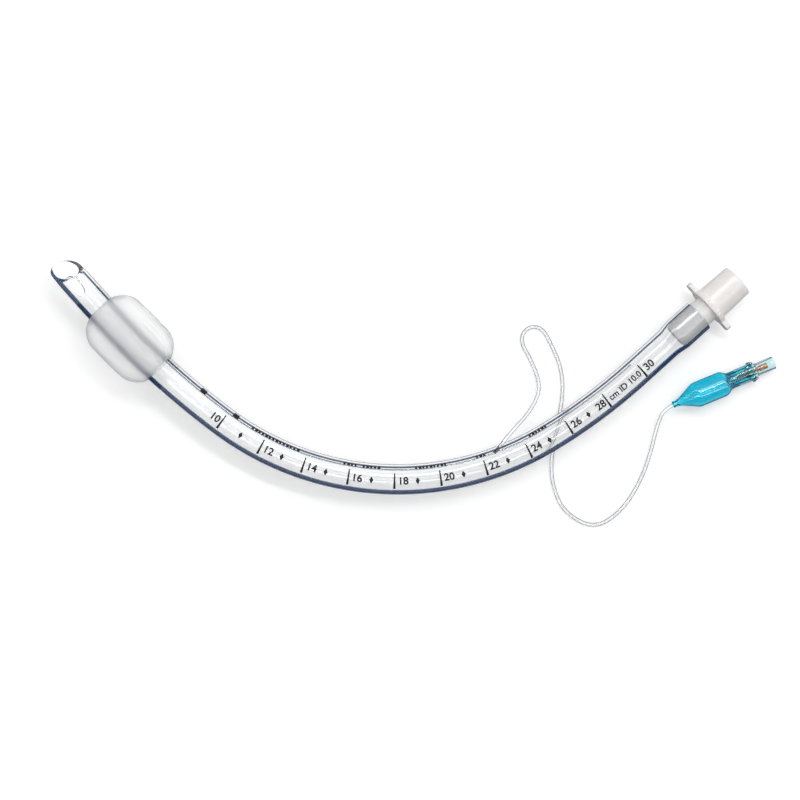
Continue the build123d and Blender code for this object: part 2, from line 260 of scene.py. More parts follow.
def floor_lie():
    """Origin and axes of the plane that the flat tube is laid on, through its three supports."""
    heights = (
        (CUFF_START + CUFF_LENGTH / 2, CUFF_RADIUS + REST_MARGIN),
        (CROSSING_STATION, TUBE_RADIUS + 2 * LINE_RADIUS + LINE_GAP),
        (FLANGE_STATION, FLANGE_HALF_HEIGHT + REST_MARGIN),
    )
    first, second, third = (np.append(flat_route(s)[0], height) for s, height in heights)
    normal = unit(np.cross(second - first, third - first))
    origin = np.array([0.0, 0.0, normal @ first / normal[2]])
    level_x = unit(np.array([1.0, 0.0, -normal[0] / normal[2]]))
    return origin, level_x, np.cross(normal, level_x), normal


LIE_ORIGIN, LIE_X, LIE_Y, LIE_UP = floor_lie()


def laid(flat):
    """Flat points of the tube, moved to where the tube lies."""
    return LIE_ORIGIN + flat[..., 0:1] * LIE_X + flat[..., 1:2] * LIE_Y + flat[..., 2:3] * LIE_UP


def about_tube(station, angle, radius):
    """Points about the centreline: P + r (cos a * inside + sin a * up), laid on the floor."""
    station, angle, radius = np.broadcast_arrays(station, angle, radius)
    point, heading = flat_route(station)
    inside = np.stack([-np.sin(heading), np.cos(heading)], -1)
    flat = point + inside * (radius * np.cos(angle))[..., None]
    return laid(np.concatenate([flat, (radius * np.sin(angle))[..., None]], -1))


def eased(value):
    """Runs from 0 to 1 with level ends: 3t^2 - 2t^3."""
    share = np.clip(value, 0.0, 1.0)
    return share * share * (3 - 2 * share)


def wall_radius(station, tip_radius, radius, flared_radius):
    """Radius along the tube: a parabola at the tip, the plain radius, and an eased flare."""
    taper = np.clip((TAPER_END - station) / TAPER_LENGTH, 0.0, None)
    flare = eased((station - FLARE_START) / FLARE_LENGTH)
    return radius - (radius - tip_radius) * taper**2 + (flared_radius - radius) * flare


def outside_radius(station):
    """The tube's outside."""
    wall = (TUBE_RADIUS - BORE_RADIUS) * BORE_RADIUS / BARB_SEAT_RADIUS
    return wall_radius(station, TIP_RADIUS, TUBE_RADIUS, BARB_SEAT_RADIUS + wall)


def bore_radius(station):
    """The tube's bore."""
    return wall_radius(station, TIP_BORE, BORE_RADIUS, BARB_SEAT_RADIUS)


def bevel_station(angle, radius):
    """Where the cut across the tip meets the line of the wall at this angle and radius."""
    return radius * np.sin(angle + radians(BEVEL_ROLL)) / tan(radians(BEVEL_ANGLE))


BALLOON_CONTACT = BODY_END - BALLOON_SHOULDER
BALLOON_DIP = np.arcsin((BALLOON_RADIUS - VALVE_FLANGE_RADIUS) / (VALVE_END - BALLOON_CONTACT))
BALLOON_AXIS = np.array([
    cos(BALLOON_DIP) * cos(radians(BALLOON_HEADING)),
    cos(BALLOON_DIP) * sin(radians(BALLOON_HEADING)),
    -sin(BALLOON_DIP),
])
BALLOON_START = np.array([*BALLOON_PLACE, BALLOON_RADIUS + BALLOON_CONTACT * sin(BALLOON_DIP)])
BALLOON_SIDE = unit(np.cross([0.0, 0.0, 1.0], BALLOON_AXIS))
BALLOON_UP = np.cross(BALLOON_AXIS, BALLOON_SIDE)


def about_balloon(distance, angle, radius):
    """Points about the balloon's axis: S + d * axis + r (cos a * side + sin a * up)."""
    arrays = np.broadcast_arrays(distance, angle, radius)
    distance, angle, radius = (np.asarray(values, float)[..., None] for values in arrays)
    across = np.cos(angle) * BALLOON_SIDE + np.sin(angle) * BALLOON_UP
    return BALLOON_START + distance * BALLOON_AXIS + radius * across


# Mesh making


def around_angles(count):
    """Angles once round, without the repeated last one."""
    return np.arange(count) * (2 * pi / count)


def ring_faces(rows, columns, rows_closed=True, columns_closed=True):
    """Four-sided faces of a grid of points, closed on itself in either direction."""
    row = np.arange(rows if rows_closed else rows - 1)[:, None]
    column = np.arange(columns if columns_closed else columns - 1)[None, :]
    next_row = (row + 1) % rows
    next_column = (column + 1) % columns
    corners = np.stack(np.broadcast_arrays(
        row * columns + column,
        row * columns + next_column,
        next_row * columns + next_column,
        next_row * columns + column,
    ), -1)
    return corners.reshape(-1, 4)


def outward(points, faces, inside_out=False):
    """The faces turned so that the volume they enclose counts as positive, or negative."""
    a, b, c, d = (points[faces[:, corner]] for corner in range(4))
    volume = (a * np.cross(b, c)).sum() + (a * np.cross(c, d)).sum()
    wrong = (volume < 0) != inside_out
    return faces[:, ::-1] if wrong else faces


def closed_grid(points):
    """A ring of rings as points and faces: its rows close on themselves, and so do its columns."""
    rows, columns = points.shape[:2]
    flat = points.reshape(-1, 3)
    return flat, outward(flat, ring_faces(rows, columns))


def new_object(name, data):
    """An object of this data in the scene."""
    piece = bpy.data.objects.new(name, data)
    bpy.context.scene.collection.objects.link(piece)
    return piece


def joined_mesh(name, shells):
    """A mesh of one or more shells, each given as points in millimetres and faces."""
    start = 0
    points = []
    faces = []
    for shell_points, shell_faces in shells:
        points.append(shell_points)
        faces += [[index + start for index in face] for face in shell_faces]
        start += len(shell_points)
    mesh = bpy.data.meshes.new(name)
    mesh.from_pydata((np.concatenate(points) * MM).tolist(), [], faces)
    return mesh


def mesh_object(name, shells, smooth_angle=35.0):
    """An object of one or more shells, shaded smooth."""
    piece = new_object(name, joined_mesh(name, shells))
    smooth(piece, smooth_angle)
    return piece


@contextmanager
def edited(mesh):
    """A mesh as a shape that can be edited, and that is written back at the end."""
    shape = bmesh.new()
    shape.from_mesh(mesh)
    yield shape
    shape.to_mesh(mesh)
    shape.free()


def right_way_out(piece):
    """Turns the faces of a closed piece outwards."""
    with edited(piece.data) as shape:
        bmesh.ops.remove_doubles(shape, verts=shape.verts, dist=1e-7)
        bmesh.ops.recalc_face_normals(shape, faces=shape.faces)


def smooth(piece, angle):
    """Shades a piece smooth, with its edges above this angle left sharp."""
    piece.data.shade_smooth()
    piece.data.set_sharp_from_angle(angle=radians(angle))


def settle(piece):
    """Applies the modifiers of a piece to its mesh."""
    graph = bpy.context.evaluated_depsgraph_get()
    mesh = bpy.data.meshes.new_from_object(piece.evaluated_get(graph))
    piece.modifiers.clear()
    piece.data = mesh
    return piece


def give(piece, *materials):
    """Gives a piece these materials and no others."""
    piece.data.materials.clear()
    for material in materials:
        piece.data.materials.append(material)


def attach(piece, body, slot, *nodes):
    """Rides a new piece on a body and hides the nodes that it replaces. Its slot is not used."""
    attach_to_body(piece, body)
    if nodes:
        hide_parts(*nodes)
    return piece


def dress(piece, body, slot, material, *nodes):
    """Gives a new piece its one material and attaches it."""
    give(piece, material)
    return attach(piece, body, slot, *nodes)


# Materials


def new_material(name):
    """A material with its node tree and its shader."""
    material = bpy.data.materials.new(name)
    material.use_nodes = True
    tree = material.node_tree
    return material, tree, tree.nodes["Principled BSDF"]


def set_inputs(node, values):
    """Sets a node's inputs, each to a plain value or to what another node puts out."""
    for name, value in values.items():
        if isinstance(value, bpy.types.NodeSocket):
            node.id_data.links.new(value, node.inputs[name])
        else:
            node.inputs[name].default_value = value
    return node


def add_node(tree, kind, values):
    """A new node of a kind with its inputs set."""
    return set_inputs(tree.nodes.new(kind), values)


def object_noise(tree, scale, detail=3.0):
    """Noise on the object's own coordinates, in metres."""
    place = tree.nodes.new("ShaderNodeTexCoord").outputs["Object"]
    values = {"Vector": place, "Scale": scale, "Detail": detail}
    return add_node(tree, "ShaderNodeTexNoise", values).outputs["Fac"]


def spread(tree, value, low, high, from_low=0.3, from_high=0.7):
    """The value mapped from one range to another."""
    values = {"From Min": from_low, "From Max": from_high, "To Min": low, "To Max": high}
    return add_node(tree, "ShaderNodeMapRange", {"Value": value, **values}).outputs["Result"]


def calculated(tree, operation, first, second=0.0):
    """A sum, product or the like of two values, either of which may be a plain number."""
    node = add_node(tree, "ShaderNodeMath", {0: first, 1: second})
    node.operation = operation
    return node.outputs[0]


def multiplied(tree, first, *others):
    """The product of two or more values."""
    product = first
    for other in others:
        product = calculated(tree, "MULTIPLY", product, other)
    return product


def along_direction(tree, output, direction):
    """How far a texture coordinate reaches along a direction: their dot product."""
    place = tree.nodes.new("ShaderNodeTexCoord").outputs[output]
    product = add_node(tree, "ShaderNodeVectorMath", {0: place, 1: direction})
    product.operation = "DOT_PRODUCT"
    return product.outputs["Value"]


def lowness(tree):
    """1 less the cosine of the angle that the surface is seen at: 0 head-on, 1 along itself."""
    return add_node(tree, "ShaderNodeLayerWeight", {"Blend": 0.5}).outputs["Facing"]


def grain(tree, scale, depth):
    """A bump of a real depth in metres, from noise."""
    values = {"Height": object_noise(tree, scale), "Distance": depth}
    return add_node(tree, "ShaderNodeBump", values).outputs["Normal"]


def mixed_colour(tree, factor, first, second):
    """A colour between two, by a factor. Each is a plain colour or comes from another node."""
    mix = tree.nodes.new("ShaderNodeMix")
    mix.data_type = "RGBA"
    ends = [(*colour, 1.0) if isinstance(colour, tuple) else colour for colour in (first, second)]
    return set_inputs(mix, {0: factor, 6: ends[0], 7: ends[1]}).outputs[2]


def clear_plastic(name, colour, edge_shade_colour, edge_start, edge_end, roughness,
                  ior=1.5, transmission=1.0):
    """Clear soft plastic: glass-like, its colour painted darker where it is seen at a low angle: a
    painted shade that stands for the dark surroundings seen through its edges.
    """
    material, tree, shader = new_material(name)
    # Painted shade: the colour darkens towards the edge colour where the surface is seen at a low
    # angle.
    rim_shade = spread(tree, lowness(tree), 0.0, 1.0, edge_start, edge_end)
    noise = object_noise(tree, 600.0)
    set_inputs(shader, {
        "Base Color": mixed_colour(tree, rim_shade, colour, edge_shade_colour),
        "Roughness": spread(tree, noise, roughness * 0.6, roughness * 1.5),
        "Transmission Weight": transmission,
        "IOR": ior,
    })
    return material


# Each clear plastic gets its own colour, then the dark colour of its painted edge shade.
CLEAR_PVC = clear_plastic(
    "clear_pvc", (0.985, 0.992, 0.998), (0.02, 0.10, 0.24), 0.66, 0.93, roughness=0.02)
# The faces cut through the wall are painted dark all over: a painted shade for how a cut looks dark
# inside a clear wall.
CUT_EDGE = clear_plastic(
    "cut_edge", (0.13, 0.17, 0.22), (0.03, 0.07, 0.14), 0.66, 0.93, roughness=0.30,
    transmission=0.5)
LINE_PVC = clear_plastic(
    "line_pvc", (0.95, 0.96, 0.965), (0.30, 0.32, 0.35), 0.04, 0.34, roughness=0.05, ior=1.22)
PORT_PLASTIC = clear_plastic(
    "port_clear", (0.80, 0.965, 0.97), (0.0, 0.30, 0.36), 0.60, 0.95, roughness=0.03)
VALVE_PLASTIC = clear_plastic(
    "valve_blue", (0.22, 0.80, 0.90), (0.0, 0.24, 0.36), 0.50, 0.92, roughness=0.04)
BALLOON_PLASTIC = clear_plastic(
    "balloon_blue", (0.01, 0.79, 0.92), (0.0, 0.30, 0.52), 0.50, 0.90, roughness=0.03)


def blue_strip_material():
    """Blue plastic filled for X-rays: opaque, without a gloss of its own inside the wall."""
    material, tree, shader = new_material("blue_pvc")
    noise = object_noise(tree, 300.0)
    set_inputs(shader, {
        "Base Color": mixed_colour(tree, noise, (0.002, 0.08, 0.38), (0.005, 0.11, 0.48)),
        "Specular IOR Level": 0.0,
        "Roughness": 0.6,
    })
    return material


def cuff_film_material():
    """Frosted film: rough transmission with a fine grain, clear where it is glued to the tube."""
    material, tree, shader = new_material("cuff_film")
    attribute = tree.nodes.new("ShaderNodeAttribute")
    attribute.attribute_name = "frost"
    frost = attribute.outputs["Fac"]
    frosting = spread(tree, object_noise(tree, 260.0, detail=5.0), 0.54, 0.66)
    set_inputs(shader, {
        "Base Color": mixed_colour(tree, frost, (0.99, 0.99, 0.99), (0.985, 0.985, 0.985)),
        "Transmission Weight": spread(tree, frost, 1.0, 0.95, 0.0, 1.0),
        "IOR": 1.14,
        "Roughness": multiplied(tree, frosting, frost),
    })
    return material


def connector_material():
    """Natural moulded plastic: slightly warm, with soft flow lines, and painted paler towards its
    barb: a painted light where the clear tube over the barb keeps the light off it.
    """
    material, tree, shader = new_material("connector_plastic")
    flange, heading = flat_route(FLANGE_STATION)
    axis = (cos(heading), sin(heading), 0.0)
    reach = float(flange @ np.array(axis[:2])) * MM
    distance = along_direction(tree, "Object", axis)
    # Painted light: the part of the connector inside the tube, short of the flange, is given a
    # paler colour.
    painted_barb_light = spread(tree, distance, 1.0, 0.0, reach - 6.0 * MM, reach - 1.0 * MM)
    noise = object_noise(tree, 60.0, detail=2.0)
    shade = mixed_colour(tree, noise, (0.885, 0.855, 0.835), (0.91, 0.885, 0.87))
    set_inputs(shader, {
        "Base Color": mixed_colour(tree, painted_barb_light, shade, (0.985, 0.98, 0.975)),
        "Transmission Weight": 0.1,
        "IOR": 1.46,
        "Roughness": spread(tree, noise, 0.24, 0.32),
        "Normal": grain(tree, 500.0, 0.00001),
    })
    return material


def solid_plastic_material(name, first, second, roughness):
    """Moulded opaque plastic with a little mottling and grain."""
    material, tree, shader = new_material(name)
    noise = object_noise(tree, 500.0)
    set_inputs(shader, {
        "Base Color": mixed_colour(tree, noise, first, second),
        "Roughness": spread(tree, noise, roughness * 0.8, roughness * 1.2),
        "Normal": grain(tree, 1500.0, 0.00002),
    })
    return material


def steel_material():
    """Drawn spring wire."""
    material, tree, shader = new_material("spring_steel")
    noise = object_noise(tree, 2000.0)
    set_inputs(shader, {
        "Base Color": mixed_colour(tree, noise, (0.30, 0.31, 0.33), (0.50, 0.51, 0.53)),
        "Metallic": 1.0,
        "Roughness": spread(tree, noise, 0.25, 0.4),
    })
    return material


def ink_material():
    """Black printing ink, slightly uneven."""
    material, tree, shader = new_material("scale_ink")
    noise = object_noise(tree, 1500.0)
    set_inputs(shader, {
        "Base Color": mixed_colour(tree, noise, (0.004, 0.004, 0.006), (0.016, 0.017, 0.022)),
        "Roughness": 0.5,
        "Specular IOR Level": 0.2,
    })
    return material


BLUE_PVC = blue_strip_material()
CUFF_FILM_MATERIAL = cuff_film_material()
CONNECTOR_PLASTIC = connector_material()
PLUNGER_ORANGE = solid_plastic_material(
    "plunger_orange", (0.66, 0.13, 0.015), (0.80, 0.21, 0.03), 0.4)
SEAL_RUBBER = solid_plastic_material(
    "seal_rubber", (0.02, 0.02, 0.022), (0.04, 0.04, 0.045), 0.55)
SPRING_STEEL = steel_material()
INK = ink_material()


# Tube


def tube_wall():
    """The tube's wall as one closed ring of rings.

    Each line of the wall runs along the outside from the machine end to the bevel, round the rim
    as half an ellipse and back along the bore. The rim's station is the bevel's own plane plus
    RIM_ROUND (1 - sin t), so the wall's end is rounded as a moulded one is.
    """
    angle = around_angles(96)[None, :]
    common = np.concatenate([
        np.linspace(TIP_RUN, BEND_END, 200),
        np.linspace(BEND_END, FLARE_START, 8)[1:],
        np.linspace(FLARE_START, FLARE_START + FLARE_LENGTH, 16)[1:],
        [TUBE_END - 1.0, TUBE_END - 0.25, TUBE_END],
    ])[:, None] + 0 * angle
    share = np.linspace(0.0, 1.0, 26)[:-1, None]

    def side(radius_at):
        """One side of the wall, from the bevel's edge to the machine end."""
        edge_radius = radius_at(bevel_station(angle, radius_at(np.zeros(1))))
        edge = bevel_station(angle, edge_radius) + RIM_ROUND
        station = np.concatenate([edge + share * (TIP_RUN - edge), common])
        return station, radius_at(station)

    outer_station, outer_radius = side(outside_radius)
    inner_station, inner_radius = side(bore_radius)
    turn = np.linspace(0.0, pi, 11)[1:-1, None]
    middle = (outer_radius[0] + inner_radius[0]) / 2
    half = (outer_radius[0] - inner_radius[0]) / 2
    rim_radius = middle + half * np.cos(turn)
    rim_station = bevel_station(angle, rim_radius) + RIM_ROUND * (1 - np.sin(turn))
    station = np.concatenate([outer_station[::-1], rim_station, inner_station])
    radius = np.concatenate([outer_radius[::-1], rim_radius, inner_radius])
    return closed_grid(about_tube(station, angle, radius))


def wall_channel():
    """The air channel inside the wall: a thin round void along the bends, closed at its ends."""
    station = np.linspace(TIP_RUN, BEND_END, 180)
    turn = around_angles(10)[None, :]
    centre = BORE_RADIUS + CHANNEL_DEPTH
    radius = centre + CHANNEL_RADIUS * np.cos(turn)
    angle = radians(CHANNEL_ANGLE) + CHANNEL_RADIUS * np.sin(turn) / centre
    body = about_tube(station[:, None], angle, radius)
    middle = radians(CHANNEL_ANGLE) + 0 * turn
    tight = about_tube(station[[0, -1]][:, None], middle, centre)
    rows = np.concatenate([tight[:1], body, tight[1:]])
    points = rows.reshape(-1, 3)
    return points, outward(points, ring_faces(len(rows), 10, rows_closed=False), inside_out=True)


def prism(name, centre, along, across, third, half_length, half_width, depth):
    """A cutter of elliptic section, centre + a cos t * along + b sin t * across, and of some depth.

    Its faces have the second of its two materials, which the faces that it cuts take over.
    """
    count = 48
    turn = around_angles(count)[:, None]
    ring = centre + half_length * np.cos(turn) * along + half_width * np.sin(turn) * across
    points = np.concatenate([ring, ring + depth * third])
    faces = [*ring_faces(2, count, rows_closed=False), range(count), range(count, 2 * count)]
    cutter = new_object(name, joined_mesh(name, [(points, faces)]))
    give(cutter, CLEAR_PVC, CUT_EDGE)
    cutter.data.polygons.foreach_set("material_index", np.ones(len(faces), dtype=np.int32))
    right_way_out(cutter)
    return cutter


def cut(piece, *cutters):
    """Cuts each cutter out of the piece and removes it."""
    for cutter in cutters:
        modifier = piece.modifiers.new("cut", "BOOLEAN")
        modifier.operation = "DIFFERENCE"
        modifier.solver = "EXACT"
        modifier.object = cutter
    settle(piece)
    for cutter in cutters:
        bpy.data.objects.remove(cutter)
    return piece


def flat_axes(station):
    """The directions along the tube, to the inside of its curve and up, where it lies."""
    heading = float(flat_route(station)[1])
    along = cos(heading) * LIE_X + sin(heading) * LIE_Y
    inside = -sin(heading) * LIE_X + cos(heading) * LIE_Y
    return along, inside, LIE_UP


# The inflation line's route, as chosen for the real one's lie
LINE_START = about_tube(LINE_STATION, radians(CHANNEL_ANGLE), TUBE_RADIUS - LINE_SEAT_DEPTH)
LINE_LEAD = 4.4
LINE_INSERT = 2.3
LINE_POINTS = [
    tuple(LINE_START),
    (48.0, -24.2, 12.2),
    (57.2, -15.1, 6.5),
    (62.5, -4.4, 1.8),
    (58.4, 7.3, LINE_RADIUS),
    (52.8, 16.8, LINE_RADIUS),
    (56.5, 22.9, LINE_RADIUS),
    (63.2, 22.3, LINE_RADIUS),
    (67.7, 13.2, LINE_RADIUS),
    (71.1, 5.5, LINE_RADIUS),
    (72.4, -5.7, LINE_RADIUS),
    (69.9, -20.6, LINE_RADIUS),
    (67.0, -35.1, LINE_RADIUS),
    (67.2, -46.8, LINE_RADIUS),
    (72.2, -59.4, LINE_RADIUS),
    (85.7, -67.1, LINE_RADIUS),
    (97.5, -59.9, LINE_RADIUS),
    (106.0, -47.2, LINE_RADIUS),
    (111.0, -33.7, 1.0),
    (113.5, -21.5, 2.6),
    tuple(BALLOON_START - BALLOON_AXIS * LINE_LEAD),
    tuple(BALLOON_START + BALLOON_AXIS * LINE_INSERT),
]


def make_tube():
    """The shaft, with its eye opposite the bevel and the seat of the inflation line cut out."""
    tube = mesh_object("tube_wall", [tube_wall(), wall_channel()])
    give(tube, CLEAR_PVC, CUT_EDGE)
    along, inside, lift = flat_axes(0.0)
    facing = cos(radians(BEVEL_ROLL)) * lift + sin(radians(BEVEL_ROLL)) * inside
    eye_centre = laid(np.append(flat_route(EYE_STATION)[0], 0.0))
    across = np.cross(facing, along)
    eye = prism("eye_cutter", eye_centre, along, across, -facing,
                EYE_LENGTH / 2, EYE_WIDTH / 2, EYE_CUT_DEPTH)
    start = np.array(LINE_POINTS[0])
    out = unit(np.array(LINE_POINTS[1]) - start)
    one = unit(np.cross(out, [0.0, 0.0, 1.0]))
    seat = prism("seat_cutter", start, one, np.cross(out, one), out,
                 LINE_SEAT_RADIUS, LINE_SEAT_RADIUS, LINE_SEAT_LENGTH)
    cut(tube, eye, seat)
    smooth(tube, 35.0)
    return attach(tube, "root", "clear_pvc", "tube_shaft")


def make_stripe():
    """The blue line: a flat strip just under the outside of the wall, from the bevel to the end."""
    half_angle = STRIPE_WIDTH / 2 / TUBE_RADIUS
    spread_angle = np.linspace(-half_angle, half_angle, 9)
    angle = pi + np.concatenate([spread_angle, spread_angle[::-1]])[None, :]
    depth = np.repeat([STRIPE_COVER, STRIPE_COVER + STRIPE_DEPTH], 9)[None, :]
    edge = bevel_station(angle, TIP_RADIUS) + 2 * RIM_ROUND
    share = np.linspace(0.0, 1.0, 12)[:-1, None]
    station = np.concatenate([
        edge + share * (TIP_RUN - edge),
        np.linspace(TIP_RUN, BEND_END, 160)[:, None] + 0 * angle,
        np.linspace(BEND_END, TUBE_END - STRIPE_COVER, 40)[1:, None] + 0 * angle,
    ])
    rows = about_tube(station, angle, outside_radius(station) - depth)
    points = rows.reshape(-1, 3)
    count = rows.shape[1]
    faces = outward(points, ring_faces(len(rows), count, rows_closed=False))
    first = np.array([[i, i + 1, count - 2 - i, count - 1 - i] for i in range(8)])
    last = first + (len(rows) - 1) * count
    caps = np.concatenate([first, last[:, ::-1]])
    stripe = mesh_object("blue_line", [(points, np.concatenate([faces, caps]))])
    right_way_out(stripe)
    return dress(stripe, "root", "blue_pvc", BLUE_PVC, "radiopaque_line")


# Cuff


def cuff_profile():
    """Station and radius along the cuff's outside between its collars.

    The film stands out as a barrel: two shoulders, each an arc of radius CUFF_SHOULDER, and a
    crown that falls by CUFF_CROWN times the square of the share of the way to its ends.
    """
    half = CUFF_LENGTH / 2
    shoulder_centre = CUFF_RADIUS - CUFF_SLACK - CUFF_CROWN - CUFF_SHOULDER
    low = np.arcsin((TUBE_RADIUS + FILM_GAP - shoulder_centre) / CUFF_SHOULDER)
    turn = np.linspace(low, pi / 2, 22)
    shoulder_x = -half + CUFF_SHOULDER * (1 - np.cos(turn))
    crown_x = np.linspace(-half + CUFF_SHOULDER, half - CUFF_SHOULDER, 28)[1:-1]
    x = np.concatenate([shoulder_x, crown_x, -shoulder_x[::-1]])
    height = np.concatenate([np.sin(turn), np.ones(len(crown_x)), np.sin(turn)[::-1]])
    drop = CUFF_SHOULDER * (1 - height)
    radius = CUFF_RADIUS - CUFF_SLACK - CUFF_CROWN * (x / half) ** 2 - drop
    return x + CUFF_START + half, radius


def make_cuff():
    """The inflated film: a barrel between two collars, with soft folds where it is gathered in.

    The folds are a sum of cosines round the cuff, deepest a third of the way up each shoulder. Past
    the middle, a bell-shaped patch about CREASE_ANGLE adds finer and deeper ones. A shallow wave
    runs both round and along.
    """
    angle = around_angles(160)[None, :]
    station, radius = cuff_profile()
    front = np.linspace(CUFF_START - FRONT_COLLAR, CUFF_START - 0.4, 8)
    rear = np.linspace(CUFF_START + CUFF_LENGTH + 0.4, CUFF_START + CUFF_LENGTH + REAR_COLLAR, 8)
    all_station = np.concatenate([front, station, rear])
    hug = outside_radius(all_station) + FILM_GAP + CUFF_FILM
    barrel = np.concatenate([0 * front, radius, 0 * rear])
    outer = np.maximum(hug, barrel)[:, None] + 0 * angle
    rise = np.clip((outer - hug[:, None]) / CUFF_SHOULDER, 0.0, 1.0)
    gather = rise * (1 - rise) ** 2
    folds = 2.1 - np.cos(17 * angle)
    folds = folds - 0.6 * np.cos(29 * angle + 1.3) - 0.5 * np.cos(41 * angle + 0.4)
    past_middle = (all_station > CUFF_START + CUFF_LENGTH / 2)[:, None]
    crease = np.exp(-(((angle - CREASE_ANGLE) / CREASE_REACH) ** 2)) * past_middle
    creases = crease * (1 - np.cos(34 * angle))
    outer = outer - gather * (FOLD_DEPTH * folds + CREASE_DEPTH * creases)
    wave = 1 + np.cos(5 * angle + 0.8) * np.sin(all_station / WAVE_STRETCH)[:, None]
    outer = outer - WAVE_DEPTH * rise * wave
    inner = outer - CUFF_FILM
    rows = np.concatenate([about_cuff(all_station[:, None], angle, outer),
                           about_cuff(all_station[:, None], angle, inner)[::-1]])
    cuff = mesh_object("cuff_skin", [closed_grid(rows)], smooth_angle=60.0)
    frost = eased(rise / FROST_RISE)
    frost = np.concatenate([frost, frost[::-1]]).ravel()
    cuff.data.attributes.new("frost", "FLOAT", "POINT").data.foreach_set("value", frost)
    return dress(cuff, "root", "cuff_film", CUFF_FILM_MATERIAL, "cuff")


def about_cuff(station, angle, radius):
    """Points about the cuff's chord between its ends, and about the centreline beyond them."""
    station, angle, radius = np.broadcast_arrays(station, angle, radius)
    ends = flat_route(np.array([CUFF_START, CUFF_START + CUFF_LENGTH]))[0]
    along = unit(ends[1] - ends[0])
    inside = np.array([-along[1], along[0]])
    middle = (ends[0] + ends[1]) / 2
    offset = (station - CUFF_START - CUFF_LENGTH / 2)[..., None]
    flat = middle + offset * along + (radius * np.cos(angle))[..., None] * inside
    on_chord = laid(np.concatenate([flat, (radius * np.sin(angle))[..., None]], -1))
    between = (station >= CUFF_START) & (station <= CUFF_START + CUFF_LENGTH)
    return np.where(between[..., None], on_chord, about_tube(station, angle, radius))


# Balloon, valve and line


def balloon_profile():
    """Distance and radius along the balloon: neck, cone, body, shoulder and sleeve.

    The radius runs straight between the corners and is then averaged over CORNER_REACH to each
    side, with a parabola as the weight, which rounds the corners.
    """
    body_start = CONE_END + BALLOON_PATCH
    body_finish = BODY_END - BALLOON_SHOULDER - BALLOON_PATCH
    sleeve_start = BODY_END + 1.0
    distance = np.concatenate([
        np.linspace(0.0, NECK_RUN, 6)[:-1],
        np.linspace(NECK_RUN, body_start, 26)[:-1],
        np.linspace(body_start, body_finish, 14)[:-1],
        np.linspace(body_finish, sleeve_start, 20)[:-1],
        np.linspace(sleeve_start, BODY_END + SLEEVE_LENGTH, 6),
    ])
    corners, radii = zip(
        (0.0, NECK_RADIUS),
        (NECK_RUN, NECK_RADIUS),
        (CONE_END, BALLOON_RADIUS),
        (BODY_END - BALLOON_SHOULDER, BALLOON_RADIUS),
        (BODY_END, SLEEVE_RADIUS),
        (BODY_END + SLEEVE_LENGTH, SLEEVE_RADIUS),
    )
    reach = np.linspace(-1.0, 1.0, 21)[:, None]
    weight = 1 - reach**2
    nearby = np.interp(distance[None, :] + CORNER_REACH * reach, corners, radii)
    radius = (nearby * weight).sum(0) / weight.sum()
    return distance, radius


def make_balloon():
    """The pilot balloon: a thin bag, slightly oval, with pleats where its cone gathers to the neck.

    The pleats are a sum of cosines round the cone, strongest at its middle. The oval is one more
    cosine, with two waves round the body. Both only go inwards.
    """
    angle = around_angles(96)[None, :]
    distance, outer = balloon_profile()
    cone = np.clip((distance - NECK_RUN) / (CONE_END - NECK_RUN), 0.0, 1.0)[:, None]
    pleats = 1.5 - np.cos(6 * angle + 0.7) - 0.5 * np.cos(11 * angle)
    oval = 1 - np.cos(2 * angle + 0.5)
    pleat = PLEAT_DEPTH * np.sin(pi * cone) * pleats
    outer_grid = outer[:, None] - pleat - OVAL_DEPTH * eased(cone) * oval
    inner_limit = np.where(distance < NECK_RUN, LINE_RADIUS + 0.02, outer - BALLOON_WALL)[:, None]
    fixed = (distance > BODY_END - 1.0)[:, None] | (distance < NECK_RUN)[:, None]
    outer_grid = np.where(fixed, outer[:, None], outer_grid)
    inner_grid = np.where(fixed, inner_limit + 0 * angle, outer_grid - BALLOON_WALL)
    rows = np.concatenate([about_balloon(distance[:, None], angle, outer_grid),
                           about_balloon(distance[:, None], angle, inner_grid)[::-1]])
    balloon = mesh_object("balloon_skin", [closed_grid(rows)])
    return dress(balloon, "root", "balloon_blue", BALLOON_PLASTIC, "pilot_balloon")


def softened_copy(node, name, width, body, slot, material):
    """A copy of a moulded node with its points merged and its edges rounded a little."""
    copy = new_object(name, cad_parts[node].data.copy())
    with edited(copy.data) as shape:
        bmesh.ops.remove_doubles(shape, verts=shape.verts, dist=1e-6)
    bevel = copy.modifiers.new("edges", "BEVEL")
    bevel.width = width * MM
    bevel.segments = 2
    bevel.limit_method = "ANGLE"
    bevel.angle_limit = radians(40.0)
    bevel.use_clamp_overlap = True
    settle(copy)
    smooth(copy, 35.0)
    return dress(copy, body, slot, material, node)


